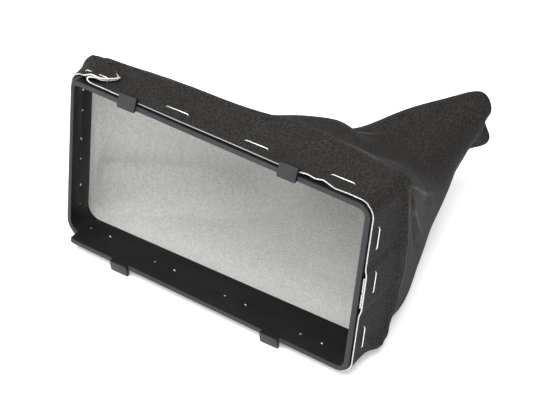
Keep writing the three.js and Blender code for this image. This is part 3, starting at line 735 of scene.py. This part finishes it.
@dataclass
class Gaiter:
    """The leatherette sheet, stapled round the hoop and sewn along its right side.

    Behind the hoop its rows lie edge_pitch apart up to edge_end, near_pitch up to near_end, and
    far_pitch beyond. The stack's pairs say where the sheet comes down from over its allowances.
    """

    sheet: Sheet
    pleat: Pleat
    thickness: float = 0.65
    band_rows: int = 13
    edge_pitch: float = 0.8
    edge_end: float = 13.0
    near_pitch: float = 1.7
    near_end: float = 62.0
    far_pitch: float = 2.6
    column_steps: int = 4
    corner_steps: int = 6
    right_steps: int = 8
    pleat_steps: int = 5
    hem_rows: int = 6
    hem_flat_rows: int = 3
    clear_rows: int = 6
    relax: float = 2.5
    seam_gap: float = 0.1
    allowance: float = 9.0
    allowance_rows: int = 6
    fold_gap: float = 0.4
    fold_end: float = 1.2
    fold_turns: tuple[Pair, ...] = ((0.0, 0.3), (0.0, 0.6), (0.25, 0.9))
    stack_side: Pair = (1.0, 6.0)
    stack_end: Pair = (4.0, 12.0)
    ripple: float = 0.35
    fine_ripple: float = 0.18
    ripple_start: Pair = (-4.0, 14.0)
    ripple_end: Pair = (140.0, 158.0)
    # The painted highlight along the fold crests: how fast it falls off, and its strength and width on
    # the pleat's tight fold
    highlight_power: int = 4
    pleat_highlight: float = 0.6
    pleat_highlight_width: float = 0.4
    wave_depth: float = 5.0
    waves: tuple[Pair, ...] = (
        (-90, 0), (-52, 0.1), (-20, 0), (12, 0.15), (40, 0), (46, 0.3), (49.8, 0.75), (54.1, 1.5),
        (58, 0.85), (62.7, 1.95), (65.5, 1.15), (68.9, 0), (72.6, 0.3), (76.9, 0.5), (84, 0.4))
    # The stretch along X where the cut edge gets painted shade, and how far it fades in
    rolled: Pair = (-56.0, 46.0)
    edge_shade_fade: float = 6.0
    flat: Pair = (0.60, 0.24)
    area: float = 0.072
    outer: Array = field(init=False)
    # How much painted highlight each point of the net gets
    crest: Array = field(init=False)
    seam: int = field(init=False)

    def column_places(self) -> tuple[Array, Array]:
        """Every column round the sheet.

        Returns:
            Its column on the plain sheet and its place in the pleat, of which one is no number.
        """
        first, last = self.pleat.first_column, self.pleat.last_column
        rest = math.ceil(last)
        before, after = [], [last, last + (rest - last) / 2]
        corners = self.sheet.corners()
        for column in range(self.sheet.columns()):
            bent = any(low <= column < high for low, high in corners)
            steps = self.corner_steps if bent else self.column_steps
            if corners[1][0] <= column < corners[2][1]:
                steps = self.right_steps
            made = [column + k / steps for k in range(steps)]
            if column < first:
                before += made
            elif column >= rest:
                after += made
        folded = np.arange(self.pleat.spans() * self.pleat_steps) / self.pleat_steps
        plain = np.concatenate([before, np.full(len(folded), np.nan), after])
        pleat = np.concatenate([np.full(len(before), np.nan), folded, np.full(len(after), np.nan)])
        return plain, pleat

    def row_places(self) -> Array:
        """Every row behind the hoop, close together where the creases begin.

        Returns:
            The rows' places between the sections.
        """
        readings = 400
        fine = np.linspace(0, len(self.sheet.sections) - 1, readings)
        backs = through(self.sheet.sections, fine)[:, 0]
        beside = np.arange(backs[0], self.edge_end, self.edge_pitch)
        near = np.arange(self.edge_end, self.near_end, self.near_pitch)
        count = int((backs[-1] - near[-1]) / self.far_pitch)
        far = np.linspace(near[-1], backs[-1], count)[1:]
        return np.interp(np.concatenate([beside, near, far]), backs, fine)

    def turned_hem(self, base: Array, moved: Array, column: Array) -> list[Array]:
        """The hem, which turns in at the mouth and lies flat against the knit.

        Args:
            base: The plain sheet's points.
            moved: How far each of them is moved by the relief.
            column: The plain sheet's columns.

        Returns:
            The hem's rows.
        """
        fold = self.sheet.hem_fold
        angles = [math.pi * k / self.hem_rows for k in range(1, self.hem_rows + 1)]
        turned = [(fold * (1 - math.cos(angle)), fold * math.sin(angle)) for angle in angles]
        turned += [(2 * fold, -self.sheet.hem_depth * k / self.hem_flat_rows)
                   for k in range(1, self.hem_flat_rows + 1)]
        backs = base[:, 0, 1]
        last = len(self.sheet.sections) - 1
        rows = []
        for inset, push in turned:
            beside = np.argmin(np.abs(backs - backs[-1] - min(push, 0)))
            rows.append(self.sheet.cone(last, column, inset, push) + moved[beside])
        return rows

    def build_surface(self) -> None:
        """Works out the sheet's outer face as one closed net of points."""
        plain, folded = self.column_places()
        pleated = ~np.isnan(folded)
        self.seam = int(np.nanargmin(np.abs(plain - self.sheet.columns() / 2)))
        rows = []
        for share in np.arange(self.band_rows) / self.band_rows:
            row = self.sheet.band(share, plain)
            row[pleated] = self.pleat.row(self.sheet, share, folded[pleated])
            rows.append(row)
        for place in self.row_places():
            behind = float(smooth_step(place, 0, self.relax))
            column = np.where(pleated, self.pleat.column(folded, behind), plain)
            rows.append(self.sheet.cone(place, column))
        base = np.array(rows)
        lift, crest = self.relief(base)
        lift[:self.band_rows + 1] = np.maximum(lift[:self.band_rows + 1], 0)
        lift += self.stand_off(base)
        kept = 1 - np.minimum(np.arange(len(base)) / (self.band_rows - 1), 1)
        free = 1 - pleated[None, :] * np.sqrt(kept)[:, None]
        moved = self.normals(base) * (lift * free)[..., None]
        outer = base + moved
        outer[..., 2] = np.maximum(outer[..., 2], -HOOK_END)
        hem = self.turned_hem(base, moved, np.where(pleated, self.pleat.column(folded, 1), plain))
        self.outer = np.concatenate([outer, np.array(hem)])
        # Painted highlight along the pleat's tight fold
        beside = (folded - self.pleat.tight_fold) / self.pleat_highlight_width
        rolled = self.pleat_highlight * np.nan_to_num(np.exp(-beside ** 2))
        crest[:self.band_rows] = np.maximum(crest[:self.band_rows], rolled)
        self.crest = np.concatenate([crest, np.zeros((len(hem), len(plain)))])

    def stand_off(self, points: Array) -> Array:
        """How far the sheet stands off the hoop, over its allowances and where its edge is wavy.

        Args:
            points: The plain sheet's points.

        Returns:
            The lift at each point.
        """
        x, y, z = np.moveaxis(points, -1, 0)
        beside = 1 - smooth_step(np.abs(z) - self.allowance, *self.stack_side)
        before = 1 - smooth_step(y, *self.stack_end)
        stack = np.where(x > HOOP_LENGTH / 2, self.thickness + SEAT_GAP, 0)
        behind = np.maximum(y - self.sheet.edge(x), 0) / self.wave_depth
        wave = np.where(z > HOOP_HEIGHT / 2, np.interp(x, *zip(*self.waves)), 0)
        return stack * beside * before + wave * np.exp(-behind ** 2)

    def relief(self, points: Array) -> tuple[Array, Array]:
        """The creases and swellings of the sheet.

        Args:
            points: The plain sheet's points.

        Returns:
            How far each point is lifted, and how much painted highlight it gets along the fold crests,
            from 0 to 1.
        """
        lift, raised, crest = np.zeros((3, *points.shape[:-1]))
        for fold in FOLDS:
            amount = fold.lift(points)
            # A raised fold also gets a painted highlight along its top
            if fold.height > 0:
                raised = np.maximum(raised, amount)
                crest = np.maximum(crest, (amount / fold.height) ** self.highlight_power)
            else:
                lift += amount
        lift += raised + sum(bulge.lift(points) for bulge in BULGES)
        x, y, z = np.moveaxis(points, -1, 0)
        free = smooth_step(y, *self.ripple_start) * (1 - smooth_step(y, *self.ripple_end))
        # Waves whose lengths share no divisor, so that the unevenness shows no pattern
        broad = np.sin(x / 11 + z / 17 + 0.6) * np.sin(y / 13 + z / 9)
        fine = np.sin(x / 5.2 - y / 7.1) * np.sin(z / 4.6 + 1.3)
        lift += free * (self.ripple * broad + self.fine_ripple * fine)
        return lift, np.clip(crest, 0, 1)

    @staticmethod
    def normals(points: Array) -> Array:
        """The outward direction at each point of a closed net.

        Args:
            points: Rows of points that each go once round.

        Returns:
            Unit vectors.
        """
        around = np.roll(points, -1, axis=1) - np.roll(points, 1, axis=1)
        along = np.gradient(points, axis=0)
        out = np.cross(around, along)
        return out / np.maximum(np.linalg.norm(out, axis=-1, keepdims=True), 1e-9)

    @staticmethod
    def along_rows(values: Array, points: Array, places: Callable[[Array], Array]) -> Array:
        """Reads each row of a net at distances along it.

        Args:
            values: What to read, for each point of the net.
            points: The net's points.
            places: Gives the distances to read, from those of the row's own points.

        Returns:
            The values there.
        """
        made = []
        for row, line in zip(values, points):
            reach = np.concatenate([[0], np.cumsum(np.linalg.norm(np.diff(line, axis=0), axis=1))])
            at = places(reach)
            made.append(np.column_stack([np.interp(at, reach, row[:, k]) for k in range(3)]))
        return np.array(made)

    def at(self, values: Array, points: Array, distance: float) -> Array:
        """Reads each row of a net at one distance from its first column."""
        return self.along_rows(values, points, lambda reach: np.array([distance]))[:, 0]

    def opened(self, reach: Array) -> Array:
        """The distances along a row once it is drawn back a little on both sides of the seam."""
        return self.seam_gap / 2 + reach * (1 - self.seam_gap / reach[-1])

    def turned_in(self, points: Array, inside: Array) -> list[Array]:
        """The seam allowance at a net's first column, folded back against the knit.

        Args:
            points: The net's points.
            inside: The inward direction at each of them.

        Returns:
            Columns of points from the seam to the allowance's edge.
        """
        turn = 2 * self.thickness + self.fold_gap
        first, inward = points[:, 0], inside[:, 0]
        towards = self.at(points, points, 1.0) - first
        towards /= np.linalg.norm(towards, axis=1, keepdims=True)
        columns = [first + towards * share + inward * turn * depth
                   for share, depth in self.fold_turns]
        for distance in np.linspace(self.fold_end, self.allowance, self.allowance_rows):
            deep = self.at(inside, points, distance)
            columns.append(self.at(points, points, distance) + deep * turn)
        return columns

    @staticmethod
    def lay(bm: bmesh.types.BMesh, net: Array, crest: Array, tone: bmesh.types.BMLayerItem) -> None:
        """Adds a grid that lies on a net of points.

        Args:
            bm: The mesh to add it to.
            net: Rows of points, in millimetres.
            crest: How much painted highlight each point gets.
            tone: The layer that keeps it.
        """
        rows, columns = net.shape[:2]
        made = bmesh.ops.create_grid(bm, x_segments=columns - 1, y_segments=rows - 1, size=0.5)
        shift = SEAT.shift()
        for vert in made["verts"]:
            column = round((vert.co.x + 0.5) * (columns - 1))
            row = round((vert.co.y + 0.5) * (rows - 1))
            vert.co = shift + net[row, column] * METRE
            vert[tone] = crest[row, column]

    def build(self, finishes: list[Material]) -> Piece:
        """Builds the sheet from one side of its seam round to the other.

        Args:
            finishes: The materials of the outer face, the back and the cut edge.

        Returns:
            The gaiter.
        """
        self.build_surface()
        total = self.outer.shape[1]
        index = [k % total for k in range(self.seam, self.seam + total + 1)]
        points = self.outer[:, index]
        points = self.along_rows(points, points, self.opened)
        inside = -self.normals(self.outer)[:, index]
        crest = self.crest[:, index]
        sewn = len(points) - self.hem_rows - self.hem_flat_rows - self.clear_rows
        left = self.turned_in(points[:sewn], inside[:sewn])
        right = self.turned_in(points[:sewn, ::-1], inside[:sewn, ::-1])
        bm = bmesh.new()
        # The layer that carries the painted highlight to the leather's material
        tone = bm.verts.layers.float.new("crest")
        self.lay(bm, points, crest, tone)
        for flap in (np.stack(left[::-1], axis=1), np.stack(right, axis=1)):
            self.lay(bm, flap, np.zeros(flap.shape[:2]), tone)
        piece = to_object(bm, "leatherette_gaiter", finishes)
        wall = piece.modifiers.new("sheet_thickness", "SOLIDIFY")
        wall.thickness = self.thickness * METRE
        wall.offset = -1
        wall.material_offset = Layer.KNIT.value
        wall.material_offset_rim = Layer.CUT.value
        wall.use_quality_normals = True
        settle(piece, sharp_angle=50)
        self.dress_seam(piece)
        self.mark_painted_edge_shade(piece)
        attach(piece, "root")
        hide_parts("gaiter")
        return piece

    def mark_painted_edge_shade(self, piece: Piece) -> None:
        """Marks the stretch of cut edge between the upper hooks, which is painted darker as painted
        shade.

        Args:
            piece: The gaiter.
        """
        mesh = piece.data
        layer = mesh.attributes.new("rolled", "FLOAT", "POINT")
        origin = SEAT.point((0, 0, 0))
        place = np.array([(vert.co - origin) / METRE for vert in mesh.vertices])
        first, last = self.rolled
        share = smooth_step(place[:, 0], first, first + self.edge_shade_fade)
        share *= 1 - smooth_step(place[:, 0], last - self.edge_shade_fade, last)
        layer.data.foreach_set("value", np.where(place[:, 2] > 0, share, 0))

    def dress_seam(self, piece: Piece) -> None:
        """Turns the sewn edges dark, because only their outer face shows in the seam.

        Args:
            piece: The gaiter.
        """
        middle = SEAT.shift()[0]
        for face in piece.data.polygons:
            sideways = abs(face.normal.y) < 0.5
            if face.material_index == Layer.CUT.value and sideways and face.center.x > middle:
                face.material_index = Layer.OUTER.value


@dataclass
class Hoop:
    """The moulded hoop with its snap hooks, taken from its solid and given rounded edges and a painted
    sheen on its forward faces.
    """

    edge_round: float = 0.35
    edge_angle: float = 40.0
    flat_angle: float = 1.0
    weld: float = 1e-6
    # How the painted sheen grows with how far a face looks forward
    sheen_gain: float = 1.4
    sheen_start: float = 0.2

    def build(self, material: Material) -> Piece:
        """Builds the hoop.

        Args:
            material: The plastic.

        Returns:
            The hoop.
        """
        bm = bmesh.new()
        bm.from_mesh(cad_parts["frame"].data)
        bmesh.ops.remove_doubles(bm, verts=bm.verts, dist=self.weld)
        bmesh.ops.dissolve_limit(
            bm, angle_limit=math.radians(self.flat_angle), verts=bm.verts, edges=bm.edges)
        piece = to_object(bm, "moulded_hoop", [material])
        rounding = piece.modifiers.new("edge_round", "BEVEL")
        rounding.width = self.edge_round * METRE
        rounding.segments = 2
        rounding.limit_method = "ANGLE"
        rounding.angle_limit = math.radians(self.edge_angle)
        settle(piece, sharp_angle=35)
        self.mark_painted_sheen(piece)
        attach(piece, "root")
        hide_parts("frame")
        return piece

    def mark_painted_sheen(self, piece: Piece) -> None:
        """Marks the faces that look forward, which get a painted sheen that makes them paler.

        Args:
            piece: The hoop.
        """
        mesh = piece.data
        layer = mesh.attributes.new("rim", "FLOAT", "FACE")
        forward = np.array([-face.normal.y for face in mesh.polygons])
        values = np.clip(forward * self.sheen_gain - self.sheen_start, 0, 1)
        layer.data.foreach_set("value", values)


@dataclass
class Staple:
    """One staple: a crown on the leatherette and two legs clinched inside the wall."""

    name: str
    centre: Vector
    along: Vector
    out: Vector
    wall: float
    crown_height: float
    crown: float = 14.0
    wire: float = 0.7
    clinch: float = 0.8
    clinch_gap: float = 0.1
    clinch_bend: float = 0.35
    bend: float = 1.2
    bend_steps: int = 4
    sides: int = 10

    def path(self) -> list[Vector]:
        """The middle of the wire.

        Returns:
            Its points from one clinched tip to the other.
        """
        half = self.crown / 2 - self.wire / 2
        top = self.crown_height + self.wire / 2
        tip = -self.wall - self.clinch_gap
        side = [(half - self.clinch, tip), (half - self.clinch_bend, tip),
                (half, tip + self.clinch_bend), (half, top - self.bend)]
        for k in range(1, self.bend_steps + 1):
            angle = math.pi / 2 * k / self.bend_steps
            side.append((half - self.bend + self.bend * math.cos(angle),
                         top - self.bend + self.bend * math.sin(angle)))
        flat = [(-u, w) for u, w in side] + [(u, w) for u, w in reversed(side)]
        return [self.centre + self.along * u + self.out * w for u, w in flat]

    def mesh(self) -> bmesh.types.BMesh:
        """Draws the wire's round section along its path, with closed ends.

        Returns:
            The mesh, in metres.
        """
        bm = bmesh.new()
        path = [SEAT.point(place) for place in self.path()]
        normal = (path[1] - path[0]).normalized().orthogonal()
        for k, point in enumerate(path):
            ahead = path[min(k + 1, len(path) - 1)] - point
            behind = point - path[max(k - 1, 0)]
            tangent = (ahead.normalized() + behind.normalized()).normalized()
            normal = (normal - tangent * normal.dot(tangent)).normalized()
            turn = Matrix((normal, tangent.cross(normal), tangent)).transposed()
            if k == 0:
                loop = bmesh.ops.create_circle(
                    bm, cap_ends=True, segments=self.sides, radius=self.wire / 2 * METRE)["verts"]
                edges = list(loop[0].link_faces[0].edges)
                bmesh.ops.transform(bm, matrix=Matrix.Translation(point) @ turn.to_4x4(), verts=loop)
            else:
                made = bmesh.ops.extrude_edge_only(bm, edges=edges)["geom"]
                loop = [g for g in made if isinstance(g, bmesh.types.BMVert)]
                edges = [g for g in made if isinstance(g, bmesh.types.BMEdge)
                         and all(v in loop for v in g.verts)]
                for vert in loop:
                    vert.co = point + turn @ (before.transposed() @ (vert.co - path[k - 1]))
            before = turn
        bmesh.ops.contextual_create(bm, geom=edges)
        bmesh.ops.recalc_face_normals(bm, faces=bm.faces)
        return bm

    def build(self, material: Material) -> Piece:
        """Builds the staple.

        Args:
            material: The wire's finish.

        Returns:
            The staple.
        """
        piece = to_object(self.mesh(), f"{self.name}_wire", [material])
        settle(piece, sharp_angle=60)
        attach(piece, "root")
        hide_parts(self.name)
        return piece


@dataclass
class StapleRuns:
    """All the staples that hold the gaiter on the hoop.

    Each has its place along the wall and its distance from the hoop's back edge. The third number,
    where there is one, is the height under a crown that lies on more than one layer.
    """

    wall: float = 2.8
    end_wall: float = 2.0
    crown_height: float = 1.5
    top: tuple = ((-73.9, 17, 4.1), (-25.7, 16.7), (21, 18.5), (68.7, 18.2))
    bottom: tuple = ((-73.3, 9), (-29.3, 13), (15.8, 15.1), (63.1, 18.4))
    right: tuple = ((29, 20.1), (2, 18.2, 2.3), (-31.6, 19.9))
    left: tuple = ((30, 8.4), (0, 8.8), (-29.7, 8))

    def build(self, material: Material) -> list[Piece]:
        """Builds every staple.

        Args:
            material: The wire's finish.

        Returns:
            The staples.
        """
        lengthwise, back, upright = Vector((1, 0, 0)), Vector((0, 1, 0)), Vector((0, 0, 1))
        runs = (("top", self.top, lengthwise, upright, HOOP_HEIGHT / 2, self.wall),
                ("bottom", self.bottom, lengthwise, -upright, HOOP_HEIGHT / 2, self.wall),
                ("right", self.right, upright, lengthwise, HOOP_LENGTH / 2, self.wall),
                ("left", self.left, upright, -lengthwise, HOOP_LENGTH / 2, self.end_wall))
        pieces = []
        for name, places, along, out, reach, wall in runs:
            for k, (place, front, *stack) in enumerate(places, 1):
                staple = Staple(f"{name}_staple_{k}", along * place - back * front + out * reach,
                                along, out, wall, stack[0] if stack else self.crown_height)
                pieces.append(staple.build(material))
        return pieces


@dataclass
class Studio:
    """A pale floor, soft light and the camera at the photograph's angle.

    Angles are radians, and distances are millimetres apart from the floor's and the lamps' sizes.
    """

    azimuth: float = 0.47274
    elevation: float = 0.61114
    roll: float = 0.1085
    distance: float = 900.0
    focal_pixels: float = 1762.12
    picture_width: float = 550.0
    aim: Pair = (-22.1696, 2.8358)
    sensor: float = 36.0
    clip: Pair = (0.05, 20.0)
    light_aim: Triple = (20.0, 20.0, -10.0)
    air: float = 0.6
    floor_size: float = 6.0
    floor_drop: float = 0.0002
    floor_glow: float = 0.3

    def camera(self) -> None:
        """Places the camera."""
        back = Vector((math.sin(self.azimuth) * math.cos(self.elevation),
                       -math.cos(self.azimuth) * math.cos(self.elevation),
                       math.sin(self.elevation)))
        level = Vector((0, 0, 1)).cross(back).normalized()
        tilt = Matrix.Rotation(self.roll, 3, back)
        right, up = tilt @ level, tilt @ back.cross(level)
        data = bpy.data.cameras.new("camera")
        data.sensor_width = self.sensor
        data.lens = self.focal_pixels / self.picture_width * self.sensor
        data.clip_start, data.clip_end = self.clip
        camera = bpy.data.objects.new("camera", data)
        bpy.context.scene.collection.objects.link(camera)
        place = back * self.distance - right * self.aim[0] - up * self.aim[1]
        turn = Matrix((right, up, back)).transposed().to_4x4()
        camera.matrix_world = Matrix.Translation(SEAT.point(place)) @ turn
        bpy.context.scene.camera = camera

    def light(self, name: str, place: Triple, size: float, power: float) -> None:
        """Hangs one soft light that looks at the object.

        Args:
            name: Its name.
            place: Where it hangs, in millimetres.
            size: The side of its square, in metres.
            power: Its power in watts.
        """
        data = bpy.data.lights.new(name, "AREA")
        data.size = size
        data.energy = power
        lamp = bpy.data.objects.new(name, data)
        bpy.context.scene.collection.objects.link(lamp)
        spot = SEAT.point(place)
        aim = SEAT.point(self.light_aim) - spot
        lamp.matrix_world = Matrix.Translation(spot) @ aim.to_track_quat("-Z", "Y").to_matrix().to_4x4()

    def floor(self) -> None:
        """Lays the pale floor."""
        bm = bmesh.new()
        bmesh.ops.create_grid(bm, x_segments=1, y_segments=1, size=self.floor_size)
        n = Nodes("studio_floor")
        n.feed(Base_Color=n.ramp(n.noise(3, detail=1), {0.3: (0.93,) * 3, 0.7: (0.95,) * 3}),
               Roughness=0.9, Specular_IOR_Level=0.1, Emission_Color=(1, 1, 1, 1),
               Emission_Strength=self.floor_glow)
        floor = to_object(bm, "studio_floor", [n.material])
        floor.location.z = -self.floor_drop

    def build(self) -> None:
        """Sets up the studio."""
        scene = bpy.context.scene
        scene.view_settings.view_transform = "Standard"
        world = bpy.data.worlds.new("studio_air")
        world.use_nodes = True
        air = world.node_tree.nodes["Background"]
        air.inputs["Color"].default_value = (1, 1, 1, 1)
        air.inputs["Strength"].default_value = self.air
        scene.world = world
        self.floor()
        self.light("key_softbox", place=(50, -450, 950), size=0.9, power=19)
        self.light("front_softbox", place=(-500, -1000, 300), size=0.9, power=6)
        self.camera()


def main() -> None:
    """Builds the dressed boot and its studio."""
    logging.basicConfig(level=logging.INFO, format="%(message)s")
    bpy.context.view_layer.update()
    finishes = [kind().material() for kind in (LeatherFinish, KnitFinish, CutFinish)]
    pieces = [Hoop().build(PlasticFinish().material()), Gaiter(Sheet(), Pleat()).build(finishes),
              *StapleRuns().build(WireFinish().material())]
    for piece in pieces:
        LOG.info("%s: %d faces", piece.name, len(piece.data.polygons))
    Studio().build()


if __name__ == "__main__":
    main()
